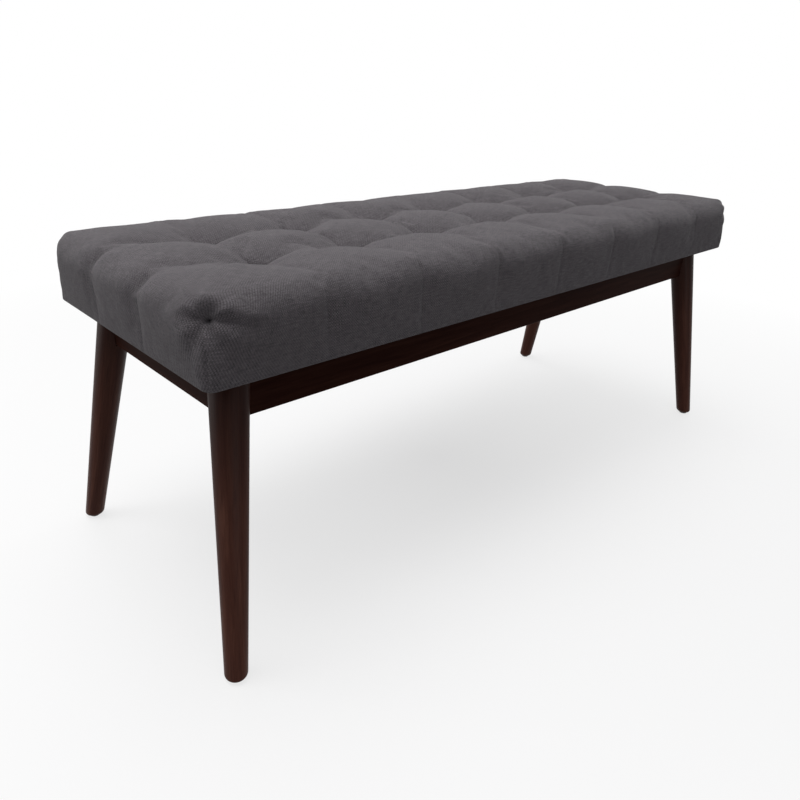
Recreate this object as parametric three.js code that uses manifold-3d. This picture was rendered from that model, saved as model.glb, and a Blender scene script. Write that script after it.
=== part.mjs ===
import * as THREE from 'three';
import { mergeVertices } from 'three/addons/utils/BufferGeometryUtils.js';
import Module from 'manifold-3d';

// An upholstered bench with a tufted seat on four splayed, tapered legs.
// Millimetres, +Z up. X runs along the bench, the front faces -Y, and the floor is z = 0.

// Overall size. Length and depth are taken over the feet, height over the puffed seat.
const LENGTH = 1117.6;
const DEPTH = 438.15;
const HEIGHT = 406.4;

// Room left between two pieces that meet, and how far a cutter runs past what it cuts.
const FIT_GAP = 0.3;
const OVERRUN = 2;

// Seat outline: its underside is set in from the feet, and the sides swell as they rise.
const FEET_PAST_SEAT = 38;
const SEAT_THICKNESS = 79.2;
const SIDE_SWELL = 1.5;
const EDGE_ROUND = 26;
const LOWER_CORNER_ROUND = 20;

// Tufting: columns and rows of puffed panels, with one tuft where two seams cross.
const PANEL_COLUMNS = 8;
const TUFT_ROWS = 2;
const TUFT_COLUMN_PITCH = 128.5;
const TUFT_ROW_PITCH = 112;
const SEAM_DEPTH = 8;
const TUFT_DEPTH = 13;
const SIDE_SEAM_DEPTH = 1.5;
const SEAM_REACH = 22;
const PUFF_REACH = 56;
const EDGE_DROP = 2;
const EDGE_REACH = 80;

// Layers of the seat.
const CLOTH = 1.5;
const DECK_THICKNESS = 12;
const HEM_PAST_RAIL = 2;
const DUST_COVER_THICKNESS = 0.5;
const DUST_COVER_SET_IN = 12;

// Tuft ties: twine with a bar under the cloth and a flat knot under the deck.
const TWINE_RADIUS = 1.2;
const TIE_BAR_RADIUS = 1.9;
const TIE_BAR_HEIGHT = 1.5;
const KNOT_RADIUS = 4;
const KNOT_HEIGHT = 1.2;
const TIE_HOLE_RADIUS = 2.4;

// Legs: round in section, cut level at both ends, leaning by the same travel along X and Y.
const FOOT_RADIUS = 13.5;
const LEG_TOP_RADIUS = 21.5;
const LEG_SPLAY = 76;
const FOOT_ROUND = 6;

// Rails, whose middle planes pass through the legs' axes at half the rails' height.
const RAIL_HEIGHT = 49;
const RAIL_THICKNESS = 18;
const RAIL_EASE = 1.5;
const RAIL_END_CLEARANCE = 0.8;

// Corner blocks, measured from the leg's axis along the corner's diagonal.
const BLOCK_SET_IN = 22;
const BLOCK_THICKNESS = 24;
const BLOCK_HEIGHT = 42;

// Hanger bolts, with a washer and a hexagon nut on the inner face of each block.
const BOLT_RADIUS = 4;
const BOLT_IN_LEG = 21;
const BOLT_PAST_NUT = 4;
const BOLT_CHAMFER = 1;
const BOLT_HOLE_CLEARANCE = 0.5;
const LEG_FLAT_MARGIN = 0.6;
const WASHER_RADIUS = 9;
const WASHER_THICKNESS = 1.6;
const NUT_ACROSS_FLATS = 13;
const NUT_HEIGHT = 6.5;

// Screws: flat heads with a cross recess. The short ones hold the blocks to the rails.
const SCREW_RADIUS = 2;
const SCREW_HEAD_RADIUS = 4.2;
const SCREW_HEAD_HEIGHT = 2.6;
const SCREW_TIP = 4;
const RECESS_REACH = 2.4;
const RECESS_WIDTH = 1;
const RECESS_DEPTH = 1.4;
const HEAD_CLEARANCE = 0.5;
const BLOCK_SCREW_OUT = 47;
const BLOCK_SCREW_WALL = 6;
const BLOCK_SCREW_IN_RAIL = 13;
const SEAT_SCREW_ASIDE = 12;
const SEAT_SCREW_COUNTERBORE = 9;
const SEAT_SCREW_IN_DECK = 8;

// Glides: a low round button with a nail that goes up into the foot.
const GLIDE_RADIUS = 7.2;
const GLIDE_THICKNESS = 2.5;
const GLIDE_ROUND = 0.8;
const NAIL_RADIUS = 1;
const NAIL_LENGTH = 12;

// Facets round turned pieces, and round a quarter turn of the foot's rounded edge.
const LEG_FACETS = 28;
const WASHER_FACETS = 16;
const BOLT_FACETS = 12;
const SCREW_FACETS = 8;
const TIE_FACETS = 6;
const FOOT_STEPS = 4;

// Heights, from the seat down through the rails.
const seatBottom = HEIGHT - SEAT_THICKNESS;
const deckBottom = seatBottom + CLOTH + FIT_GAP;
const deckTop = deckBottom + DECK_THICKNESS;
const foamBottom = deckTop + FIT_GAP;
const dustCoverTop = seatBottom - FIT_GAP;
const dustCoverBottom = dustCoverTop - DUST_COVER_THICKNESS;
const railTop = dustCoverBottom - FIT_GAP;
const railBottom = railTop - RAIL_HEIGHT;
const railMiddle = (railTop + railBottom) / 2;
const blockMiddle = railTop - BLOCK_HEIGHT / 2;

// The leg's lean, and the place of its foot, whose side reaches out to the overall size.
const lean = LEG_SPLAY / railTop;
const footBottom = GLIDE_THICKNESS + FIT_GAP;
const footReach = FOOT_RADIUS - lean * (footBottom + FOOT_ROUND);
const footX = LENGTH / 2 - footReach;
const footY = DEPTH / 2 - footReach;
const axisIn = lean * railMiddle;
const axisX = footX - axisIn;
const axisY = footY - axisIn;
const glideIn = lean * footBottom;

// Distances from the leg's axis: a rail's side and end, and the flat between two rails.
const railSide = RAIL_THICKNESS / 2;
const railEnd = railSide + RAIL_END_CLEARANCE;
const legFlat = (railSide + FIT_GAP) * Math.SQRT2 - LEG_FLAT_MARGIN;

// Across a rail, from its middle: a block screw's tip, and the seat of its head.
const screwTip = railSide - BLOCK_SCREW_IN_RAIL;
const screwSeat = railSide + FIT_GAP + BLOCK_SCREW_WALL;

// Along the diagonal from the leg's axis: where the washer and the nut start.
const washerAt = BLOCK_SET_IN + BLOCK_THICKNESS + FIT_GAP;
const nutAt = washerAt + WASHER_THICKNESS + FIT_GAP;

// A seat screw's place from its foot: through the block, beside the bolt.
const screwOut = BLOCK_SET_IN + BLOCK_THICKNESS / 2;
const seatScrewIn = [
	axisIn + (screwOut + SEAT_SCREW_ASIDE) * Math.SQRT1_2,
	axisIn + (screwOut - SEAT_SCREW_ASIDE) * Math.SQRT1_2,
];

// The seat's half sizes: its underside, its widest line, and the flat of its top.
const underX = LENGTH / 2 - FEET_PAST_SEAT;
const underY = DEPTH / 2 - FEET_PAST_SEAT;
const wideX = underX + SIDE_SWELL;
const wideY = underY + SIDE_SWELL;
const topX = wideX - EDGE_ROUND;
const topY = wideY - EDGE_ROUND;
const sideTop = HEIGHT - EDGE_ROUND;

// The seams' places, evenly spaced about the middle of the seat.
const columnSeams = evenlySpaced(PANEL_COLUMNS - 1, TUFT_COLUMN_PITCH);
const rowSeams = evenlySpaced(TUFT_ROWS, TUFT_ROW_PITCH);

// The four corners and sides, in turn round the bench from the front left.
const CORNERS = ['front_left', 'front_right', 'back_right', 'back_left'];
const SIDES = ['front', 'right', 'back', 'left'];
const QUARTER = Math.PI / 2;

const materials = {
	cloth: finish(0x4b4749, 0.95, 0),
	foam: finish(0xe9e1c4, 0.9, 0),
	plywood: finish(0xc3a27a, 0.75, 0),
	dustCloth: finish(0x1b1b1d, 0.95, 0),
	twine: finish(0xe4dfd0, 0.85, 0),
	stainedWood: finish(0x2e1c17, 0.42, 0),
	rawWood: finish(0xcdb088, 0.75, 0),
	zincSteel: finish(0xb9bcc0, 0.35, 0.9),
	nylon: finish(0x24211f, 0.5, 0),
};

const wasm = await Module();
wasm.setup();

function finish(color, roughness, metalness) {
	return new THREE.MeshStandardMaterial({ color, roughness, metalness });
}

function evenlySpaced(count, pitch) {
	const first = -pitch * (count - 1) / 2;
	return Array.from({ length: count }, (_, i) => first + i * pitch);
}

// A closed solid for joining and cutting: shared corners merged, collapsed faces dropped.
function solidOf(geometry) {
	const bare = geometry.clone();
	bare.deleteAttribute('normal');
	bare.deleteAttribute('uv');
	const merged = mergeVertices(bare);
	const index = Array.from(merged.index.array);
	const faces = [];
	for (let i = 0; i < index.length; i += 3) {
		const [a, b, c] = index.slice(i, i + 3);
		if (a !== b && b !== c && c !== a) {
			faces.push(a, b, c);
		}
	}
	return new wasm.Manifold(new wasm.Mesh({
		numProp: 3,
		vertProperties: new Float32Array(merged.attributes.position.array),
		triVerts: new Uint32Array(faces),
	}));
}

function geometryOf(solid) {
	const mesh = solid.getMesh();
	const geometry = new THREE.BufferGeometry();
	geometry.setAttribute('position', new THREE.BufferAttribute(new Float32Array(mesh.vertProperties), 3));
	geometry.setIndex(new THREE.BufferAttribute(new Uint32Array(mesh.triVerts), 1));
	geometry.computeVertexNormals();
	return geometry;
}

function cut(geometry, cutters) {
	const left = cutters.reduce((solid, cutter) => solid.subtract(solidOf(cutter)), solidOf(geometry));
	return geometryOf(left);
}

// A solid turned about Z, from [radius, height] pairs that start and end on the axis.
function turned(profile, facets) {
	const points = profile.map(([radius, height]) => new THREE.Vector2(radius, height));
	return new THREE.LatheGeometry(points, facets).rotateX(QUARTER);
}

function rod(radius, from, to, facets) {
	return turned([[0, from], [radius, from], [radius, to], [0, to]], facets);
}

function block(from, to) {
	const size = to.clone().sub(from);
	const middle = from.clone().add(to).divideScalar(2);
	return new THREE.BoxGeometry(size.x, size.y, size.z).translate(middle.x, middle.y, middle.z);
}

// A flat plate between two heights, with rounded corners of two facets each.
function plate(halfX, halfY, round, bottom, top) {
	const shape = new THREE.Shape();
	shape.absarc(halfX - round, halfY - round, round, 0, QUARTER);
	shape.absarc(round - halfX, halfY - round, round, QUARTER, 2 * QUARTER);
	shape.absarc(round - halfX, round - halfY, round, 2 * QUARTER, 3 * QUARTER);
	shape.absarc(halfX - round, round - halfY, round, 3 * QUARTER, 4 * QUARTER);
	const settings = { depth: top - bottom, bevelEnabled: false, curveSegments: 1 };
	return new THREE.ExtrudeGeometry(shape, settings).translate(0, 0, bottom);
}

function named(name, geometry, material) {
	const mesh = new THREE.Mesh(geometry, material);
	mesh.name = name;
	return mesh;
}

// Fades from 1 at no distance to 0 at the reach, levelling out as it ends.
function fade(distance, reach) {
	return Math.max(0, 1 - distance / reach) ** 2;
}

function nearest(value, places) {
	return Math.min(...places.map((place) => Math.abs(value - place)));
}

// The height of the seat's top: level in the middle of a panel, drawn down by seams and
// tufts, and falling a little towards the rounded edge.
function topHeight(x, y) {
	const columnGap = nearest(x, columnSeams);
	const rowGap = nearest(y, rowSeams);
	const seam = SEAM_DEPTH * fade(Math.min(columnGap, rowGap), PUFF_REACH);
	const tuft = TUFT_DEPTH * fade(Math.hypot(columnGap, rowGap), PUFF_REACH);
	const edgeGap = Math.min(topX - Math.abs(x), topY - Math.abs(y));
	return HEIGHT - seam - tuft - EDGE_DROP * fade(edgeGap, EDGE_REACH);
}

// Grid lines across the top: both edges, every seam with a line each side, and mid panels.
function gridLines(half, seams) {
	const lines = [-half];
	let last = -half;
	for (const seam of seams) {
		lines.push((last + seam) / 2, seam - SEAM_REACH, seam, seam + SEAM_REACH);
		last = seam;
	}
	lines.push((last + half) / 2, half);
	return lines;
}

const linesX = gridLines(topX, columnSeams);
const linesY = gridLines(topY, rowSeams);

// The same place seen from a side or corner that lies some quarter turns further round.
function turnedPlace(x, y, turns) {
	let place = [x, y];
	for (let i = 0; i < turns; i += 1) {
		place = [-place[1], place[0]];
	}
	return place;
}

// A level of the seat's side, between the underside and the rounded edge. The skins inside
// the outer one are drawn in by an inset.
function sideLevel(height, inset) {
	const risen = (height - seatBottom) / (sideTop - seatBottom);
	return {
		halfX: underX + SIDE_SWELL * risen - inset,
		halfY: underY + SIDE_SWELL * risen - inset,
		round: LOWER_CORNER_ROUND + (EDGE_ROUND - LOWER_CORNER_ROUND) * risen - inset,
		groove: SIDE_SEAM_DEPTH * risen,
		base: height,
		lift: 0,
	};
}

// A level of the rounded edge, at an angle of its quarter turn from the side to the top.
function edgeLevel(angle, inset) {
	const round = (EDGE_ROUND - inset) * Math.cos(angle);
	return {
		halfX: topX + round,
		halfY: topY + round,
		round,
		groove: SIDE_SEAM_DEPTH * Math.cos(angle),
		base: sideTop,
		lift: Math.sin(angle),
	};
}

// A loop of points round the seat at one level. Its straight runs carry the grid lines,
// its seams are drawn in, and each corner adds one point on its arc.
function loopAt(level, inset) {
	const loop = [];
	SIDES.forEach((_, turns) => {
		const alongX = turns % 2 === 0;
		const lines = alongX ? linesX : linesY;
		const seams = alongX ? columnSeams : rowSeams;
		const [run, out] = alongX ? [level.halfX, level.halfY] : [level.halfY, level.halfX];
		const [topRun, topOut] = alongX ? [topX, topY] : [topY, topX];
		const add = (along, outward, topAlong) => {
			const [x, y] = turnedPlace(along, -outward, turns);
			const above = topHeight(...turnedPlace(topAlong, -topOut, turns)) - inset - sideTop;
			loop.push(new THREE.Vector3(x, y, level.base + level.lift * above));
		};
		lines.forEach((line, i) => {
			const isEnd = i === 0 || i === lines.length - 1;
			const along = isEnd ? Math.sign(line) * (run - level.round) : line;
			add(along, seams.includes(line) ? out - level.groove : out, line);
		});
		const arc = level.round * (1 - Math.SQRT1_2);
		add(run - arc, out - arc, topRun);
	});
	return loop;
}

function bandBetween(lower, upper) {
	const faces = [];
	lower.forEach((point, i) => {
		const j = (i + 1) % lower.length;
		faces.push([point, lower[j], upper[j]], [point, upper[j], upper[i]]);
	});
	return faces;
}

// The four inner corners of the hem, in the order of the loops' quarters.
function hemCorners(height) {
	const x = axisX - RAIL_THICKNESS / 2 - HEM_PAST_RAIL;
	const y = axisY - RAIL_THICKNESS / 2 - HEM_PAST_RAIL;
	return [[-x, -y], [x, -y], [x, y], [-x, y]].map(([cx, cy]) => new THREE.Vector3(cx, cy, height));
}

// A flat frame, facing up, from a loop in to four corners.
function frameTo(loop, corners) {
	const cornerOf = (point) => {
		const right = point.x > 0;
		return point.y > 0 ? corners[right ? 2 : 3] : corners[right ? 1 : 0];
	};
	return loop.flatMap((point, i) => {
		const next = loop[(i + 1) % loop.length];
		const from = cornerOf(point);
		const to = cornerOf(next);
		return from === to ? [[point, next, to]] : [[point, next, to], [point, to, from]];
	});
}

function flipped(faces) {
	return faces.map(([a, b, c]) => [a, c, b]);
}

// The seat's skin from one height up over the top, drawn in by the inset.
function skin(bottom, inset) {
	const levels = [
		sideLevel(bottom, inset),
		sideLevel(sideTop, inset),
		edgeLevel(QUARTER / 2, inset),
		edgeLevel(QUARTER, inset),
	];
	const loops = levels.map((level) => loopAt(level, inset));
	const faces = loops.slice(1).flatMap((upper, i) => bandBetween(loops[i], upper));
	const at = (i, j) => new THREE.Vector3(linesX[i], linesY[j], topHeight(linesX[i], linesY[j]) - inset);
	for (let i = 1; i < linesX.length; i += 1) {
		for (let j = 1; j < linesY.length; j += 1) {
			const [a, b, c, d] = [at(i - 1, j - 1), at(i, j - 1), at(i, j), at(i - 1, j)];
			faces.push([a, b, c], [a, c, d]);
		}
	}
	return { faces, lowest: loops[0] };
}

function surface(faces) {
	const geometry = new THREE.BufferGeometry().setFromPoints(faces.flat());
	return geometryOf(solidOf(geometry));
}

// One cloth cover: a tufted outer skin, an inner skin a cloth's thickness inside it, and a
// hem that turns in under the deck.
function seatCover() {
	const hemTop = seatBottom + CLOTH;
	const outer = skin(seatBottom, 0);
	const inner = skin(hemTop, CLOTH);
	const lowCorners = hemCorners(seatBottom);
	const highCorners = hemCorners(hemTop);
	return surface([
		...outer.faces,
		...flipped(inner.faces),
		...flipped(frameTo(outer.lowest, lowCorners)),
		...frameTo(inner.lowest, highCorners),
		...flipped(bandBetween(lowCorners, highCorners)),
	]);
}

function tuftPlaces() {
	return rowSeams.flatMap((y) => columnSeams.map((x) => [x, y]));
}

// Foam that fills the cover above the deck, with a hole down from each tuft. It is drawn
// from the same height as the cover's inner skin, then cut off level above the deck.
function seatFoam() {
	const drawnFrom = seatBottom + CLOTH;
	const { faces, lowest } = skin(drawnFrom, CLOTH + FIT_GAP);
	const middle = new THREE.Vector3(0, 0, drawnFrom);
	lowest.forEach((point, i) => {
		faces.push([point, middle, lowest[(i + 1) % lowest.length]]);
	});
	const belowFoam = block(
		new THREE.Vector3(-wideX, -wideY, drawnFrom - OVERRUN),
		new THREE.Vector3(wideX, wideY, foamBottom),
	);
	const holes = tuftPlaces().map(([x, y]) => tieHole(x, y, foamBottom, HEIGHT));
	return cut(surface(faces), [belowFoam, ...holes]);
}

function tieHole(x, y, bottom, top) {
	return rod(TIE_HOLE_RADIUS, bottom - OVERRUN, top + OVERRUN, TIE_FACETS).translate(x, y, 0);
}

// The places of the four seat screws on the whole bench.
function seatScrewPlaces() {
	return CORNERS.map((_, turns) => {
		const [x, y] = footPlace(turns);
		const [dx, dy] = turnedPlace(seatScrewIn[0], seatScrewIn[1], turns);
		return [x + dx, y + dy];
	});
}

// Plywood deck, with a hole under each tuft and pilot holes for the seat screws.
function seatDeck() {
	const inset = CLOTH + FIT_GAP;
	const deck = plate(underX - inset, underY - inset, LOWER_CORNER_ROUND - inset, deckBottom, deckTop);
	const holes = tuftPlaces().map(([x, y]) => tieHole(x, y, deckBottom, deckTop));
	const pilotTop = deckBottom + SEAT_SCREW_IN_DECK + FIT_GAP;
	const pilots = seatScrewPlaces().map(([x, y]) => (
		rod(SCREW_RADIUS + FIT_GAP, deckBottom - OVERRUN, pilotTop, SCREW_FACETS).translate(x, y, 0)
	));
	return cut(deck, [...holes, ...pilots]);
}

function dustCover() {
	const inset = CLOTH + FIT_GAP + DUST_COVER_SET_IN;
	const round = Math.max(LOWER_CORNER_ROUND - inset, CLOTH);
	const sheet = plate(underX - inset, underY - inset, round, dustCoverBottom, dustCoverTop);
	const holes = seatScrewPlaces().map(([x, y]) => (
		rod(SCREW_RADIUS + FIT_GAP, dustCoverBottom - OVERRUN, dustCoverTop + OVERRUN, SCREW_FACETS)
			.translate(x, y, 0)
	));
	return cut(sheet, holes);
}

// Twine from the cloth at a tuft down to a knot under the deck.
function tuftTie(x, y) {
	const top = topHeight(x, y) - CLOTH - FIT_GAP;
	const barBottom = top - TIE_BAR_HEIGHT;
	const knotTop = deckBottom - FIT_GAP;
	const knotBottom = knotTop - KNOT_HEIGHT;
	return turned([
		[0, knotBottom],
		[KNOT_RADIUS, knotBottom],
		[KNOT_RADIUS, knotTop],
		[TWINE_RADIUS, knotTop],
		[TWINE_RADIUS, barBottom],
		[TIE_BAR_RADIUS, barBottom],
		[TIE_BAR_RADIUS, top],
		[0, top],
	], TIE_FACETS).translate(x, y, 0);
}

// From here each corner is drawn at its foot, on the floor, with X and Y running inwards.
function footPlace(turns) {
	return turnedPlace(turns % 2 === 0 ? -footX : -footY, turns % 2 === 0 ? -footY : -footX, turns);
}

// Carries a shape drawn about X onto the corner's diagonal, at the bolt's height.
function ontoDiagonal(geometry) {
	return geometry.rotateZ(QUARTER / 2).translate(axisIn, axisIn, railMiddle);
}

// The tapered leg before it is notched: a rounded foot, cut level, leaning inwards.
function leaningTaper() {
	const rounded = Array.from({ length: FOOT_STEPS + 1 }, (_, i) => {
		const angle = QUARTER * i / FOOT_STEPS;
		return [
			FOOT_RADIUS - FOOT_ROUND * (1 - Math.sin(angle)),
			footBottom + FOOT_ROUND * (1 - Math.cos(angle)),
		];
	});
	const profile = [[0, footBottom], ...rounded, [LEG_TOP_RADIUS, railTop], [0, railTop]];
	return turned(profile, LEG_FACETS).applyMatrix4(new THREE.Matrix4().makeShear(0, 0, 0, 0, lean, lean));
}

// A leg notched for the ends of two rails, with a flat and a hole for the bolt between
// them, and a nail hole in the foot.
function leg() {
	const reach = 2 * LEG_TOP_RADIUS;
	const end = railEnd - FIT_GAP;
	const side = railSide + FIT_GAP;
	const low = railBottom - FIT_GAP;
	const high = railTop + OVERRUN;
	const notchAlongX = block(new THREE.Vector3(end, -side, low), new THREE.Vector3(reach, side, high));
	const notchAlongY = block(new THREE.Vector3(-side, end, low), new THREE.Vector3(side, reach, high));
	const flat = block(
		new THREE.Vector3(legFlat, -reach, low - railMiddle),
		new THREE.Vector3(legFlat + reach, reach, high - railMiddle),
	);
	const boltHole = rod(BOLT_RADIUS + FIT_GAP, legFlat - BOLT_IN_LEG - FIT_GAP, reach, BOLT_FACETS);
	const nailTop = GLIDE_THICKNESS + NAIL_LENGTH + FIT_GAP;
	const nailHole = rod(NAIL_RADIUS + FIT_GAP, 0, nailTop, SCREW_FACETS);
	return cut(leaningTaper(), [
		notchAlongX.translate(axisIn, axisIn, 0),
		notchAlongY.translate(axisIn, axisIn, 0),
		ontoDiagonal(flat),
		ontoDiagonal(boltHole.rotateY(QUARTER)),
		nailHole.translate(glideIn, glideIn, 0),
	]);
}

// A button whose nail goes up into the foot.
function glide() {
	const top = GLIDE_THICKNESS + NAIL_LENGTH;
	return turned([
		[0, 0],
		[GLIDE_RADIUS - GLIDE_ROUND, 0],
		[GLIDE_RADIUS, GLIDE_ROUND],
		[GLIDE_RADIUS, GLIDE_THICKNESS],
		[NAIL_RADIUS, GLIDE_THICKNESS],
		[NAIL_RADIUS, top - 2 * NAIL_RADIUS],
		[0, top],
	], BOLT_FACETS);
}

// A corner block: a prism across the corner, mitred to both rails, bored for the bolt and
// the seat screw, and pocketed for the heads of its two block screws.
function cornerBlock() {
	const mitre = (railSide + FIT_GAP) * Math.SQRT2;
	const inner = BLOCK_SET_IN + BLOCK_THICKNESS;
	const outline = new THREE.Shape([
		new THREE.Vector2(BLOCK_SET_IN, mitre - BLOCK_SET_IN),
		new THREE.Vector2(inner, mitre - inner),
		new THREE.Vector2(inner, inner - mitre),
		new THREE.Vector2(BLOCK_SET_IN, BLOCK_SET_IN - mitre),
	]);
	const bottom = railTop - BLOCK_HEIGHT;
	const body = new THREE.ExtrudeGeometry(outline, { depth: BLOCK_HEIGHT, bevelEnabled: false })
		.translate(0, 0, bottom - railMiddle);
	const boltHole = rod(BOLT_RADIUS + BOLT_HOLE_CLEARANCE, 0, inner + OVERRUN, BOLT_FACETS);
	const shank = SCREW_RADIUS + FIT_GAP;
	const head = SCREW_HEAD_RADIUS + HEAD_CLEARANCE;
	const seatHole = rod(shank, bottom - OVERRUN, railTop + OVERRUN, SCREW_FACETS);
	const seatHead = rod(head, bottom - OVERRUN, bottom + SEAT_SCREW_COUNTERBORE, SCREW_FACETS);
	const holes = [seatHole, seatHead].map((hole) => hole.translate(seatScrewIn[0], seatScrewIn[1], 0));
	for (const turnToRail of [toY, toX]) {
		const railHole = rod(shank, screwTip, screwSeat + OVERRUN, SCREW_FACETS);
		const railHead = rod(head, screwSeat, screwSeat + BLOCK_THICKNESS, SCREW_FACETS);
		holes.push(turnToRail(railHole), turnToRail(railHead));
	}
	return cut(ontoDiagonal(body), [ontoDiagonal(boltHole.rotateY(QUARTER)), ...holes]);
}

// Turns a shape drawn about Z to lie where one of the corner's block screws does.
function toY(geometry) {
	return geometry.rotateX(-QUARTER).translate(axisIn + BLOCK_SCREW_OUT, axisIn, blockMiddle);
}

function toX(geometry) {
	return geometry.rotateY(QUARTER).translate(axisIn, axisIn + BLOCK_SCREW_OUT, blockMiddle);
}

// A rail about its own middle, with its inner face towards +Y, eased along its four
// edges. Each end has a pilot hole, and a hollow in its inner corner for the bolt.
function rail(length) {
	const outline = new THREE.Shape([
		new THREE.Vector2(-railSide + RAIL_EASE, railBottom),
		new THREE.Vector2(railSide - RAIL_EASE, railBottom),
		new THREE.Vector2(railSide, railBottom + RAIL_EASE),
		new THREE.Vector2(railSide, railTop - RAIL_EASE),
		new THREE.Vector2(railSide - RAIL_EASE, railTop),
		new THREE.Vector2(-railSide + RAIL_EASE, railTop),
		new THREE.Vector2(-railSide, railTop - RAIL_EASE),
		new THREE.Vector2(-railSide, railBottom + RAIL_EASE),
	]);
	const body = new THREE.ExtrudeGeometry(outline, { depth: length, bevelEnabled: false })
		.translate(0, 0, -length / 2)
		.rotateX(QUARTER)
		.rotateZ(QUARTER);
	const axisAt = length / 2 + railEnd;
	const cutters = [-1, 1].flatMap((end) => [
		rod(SCREW_RADIUS + FIT_GAP, screwTip - FIT_GAP, railSide + OVERRUN, SCREW_FACETS)
			.rotateX(-QUARTER)
			.translate(end * (axisAt - BLOCK_SCREW_OUT), 0, blockMiddle),
		rod(BOLT_RADIUS + BOLT_HOLE_CLEARANCE, 0, BLOCK_SET_IN, BOLT_FACETS)
			.rotateY(QUARTER)
			.rotateZ(QUARTER + end * QUARTER / 2)
			.translate(end * axisAt, 0, railMiddle),
	]);
	return cut(body, cutters);
}

// A screw about Z with its tip at the origin, and a cross recess in its head.
function screw(length) {
	const top = length + SCREW_HEAD_HEIGHT;
	const body = turned([
		[0, 0],
		[SCREW_RADIUS, SCREW_TIP],
		[SCREW_RADIUS, length],
		[SCREW_HEAD_RADIUS, length],
		[SCREW_HEAD_RADIUS, top],
		[0, top],
	], SCREW_FACETS);
	const low = top - RECESS_DEPTH;
	const high = top + OVERRUN;
	const half = RECESS_WIDTH / 2;
	return cut(body, [
		block(new THREE.Vector3(-RECESS_REACH, -half, low), new THREE.Vector3(RECESS_REACH, half, high)),
		block(new THREE.Vector3(-half, -RECESS_REACH, low), new THREE.Vector3(half, RECESS_REACH, high)),
	]);
}

function hangerBolt() {
	const start = legFlat - BOLT_IN_LEG;
	const end = nutAt + NUT_HEIGHT + BOLT_PAST_NUT;
	return turned([
		[0, start],
		[BOLT_RADIUS, start + BOLT_RADIUS],
		[BOLT_RADIUS, end - BOLT_CHAMFER],
		[BOLT_RADIUS - BOLT_CHAMFER, end],
		[0, end],
	], BOLT_FACETS);
}

function washer() {
	const hole = BOLT_RADIUS + BOLT_HOLE_CLEARANCE;
	return turned([
		[hole, 0],
		[WASHER_RADIUS, 0],
		[WASHER_RADIUS, WASHER_THICKNESS],
		[hole, WASHER_THICKNESS],
		[hole, 0],
	], WASHER_FACETS);
}

function nut() {
	const hexagon = rod(NUT_ACROSS_FLATS / Math.sqrt(3), 0, NUT_HEIGHT, 6);
	return cut(hexagon, [rod(BOLT_RADIUS + FIT_GAP, -OVERRUN, NUT_HEIGHT + OVERRUN, BOLT_FACETS)]);
}

// Everything at one corner, in a group that stands at the foot with X and Y inwards.
function corner(name, turns) {
	const group = new THREE.Group();
	const [x, y] = footPlace(turns);
	group.position.set(x, y, 0);
	group.rotation.z = turns * QUARTER;
	group.add(named(`leg_${name}`, leg(), materials.stainedWood));
	group.add(named(`corner_block_${name}`, cornerBlock(), materials.rawWood));

	const foot = named(`glide_${name}`, glide(), materials.nylon);
	foot.position.set(glideIn, glideIn, 0);
	group.add(foot);

	const diagonal = new THREE.Group();
	diagonal.position.set(axisIn, axisIn, railMiddle);
	diagonal.rotation.z = QUARTER / 2;
	const fasteners = [['hanger_bolt', hangerBolt(), 0], ['washer', washer(), washerAt], ['nut', nut(), nutAt]];
	for (const [kind, geometry, along] of fasteners) {
		const mesh = named(`${kind}_${name}`, geometry, materials.zincSteel);
		mesh.position.x = along;
		mesh.rotation.y = QUARTER;
		diagonal.add(mesh);
	}
	group.add(diagonal);

	const tipHeight = deckBottom + SEAT_SCREW_IN_DECK;
	const headHeight = railTop - BLOCK_HEIGHT + SEAT_SCREW_COUNTERBORE - FIT_GAP;
	const seatScrew = named(`seat_screw_${name}`, screw(tipHeight - headHeight), materials.zincSteel);
	seatScrew.position.set(seatScrewIn[0], seatScrewIn[1], tipHeight);
	seatScrew.rotation.x = 2 * QUARTER;
	group.add(seatScrew);

	[toY, toX].forEach((turnToRail, i) => {
		const geometry = screw(screwSeat + FIT_GAP - screwTip).translate(0, 0, screwTip);
		group.add(named(`block_screw_${name}_${i + 1}`, turnToRail(geometry), materials.zincSteel));
	});
	return group;
}

function railAt(name, turns) {
	const alongX = turns % 2 === 0;
	const length = 2 * ((alongX ? axisX : axisY) - railEnd);
	const mesh = named(`${name}_rail`, rail(length), materials.stainedWood);
	const [x, y] = turnedPlace(0, alongX ? -axisY : -axisX, turns);
	mesh.position.set(x, y, 0);
	mesh.rotation.z = turns * QUARTER;
	return mesh;
}

const bench = new THREE.Group();
bench.add(named('seat_cover', seatCover(), materials.cloth));
bench.add(named('seat_foam', seatFoam(), materials.foam));
bench.add(named('seat_deck', seatDeck(), materials.plywood));
bench.add(named('dust_cover', dustCover(), materials.dustCloth));
rowSeams.forEach((y, row) => {
	columnSeams.forEach((x, column) => {
		const name = `tuft_tie_${row === 0 ? 'front' : 'back'}_${column + 1}`;
		bench.add(named(name, tuftTie(x, y), materials.twine));
	});
});
SIDES.forEach((name, turns) => bench.add(railAt(name, turns)));
CORNERS.forEach((name, turns) => bench.add(corner(name, turns)));

export default bench;
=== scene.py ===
import bpy
import numpy as np
from mathutils import Matrix, Vector

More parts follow.
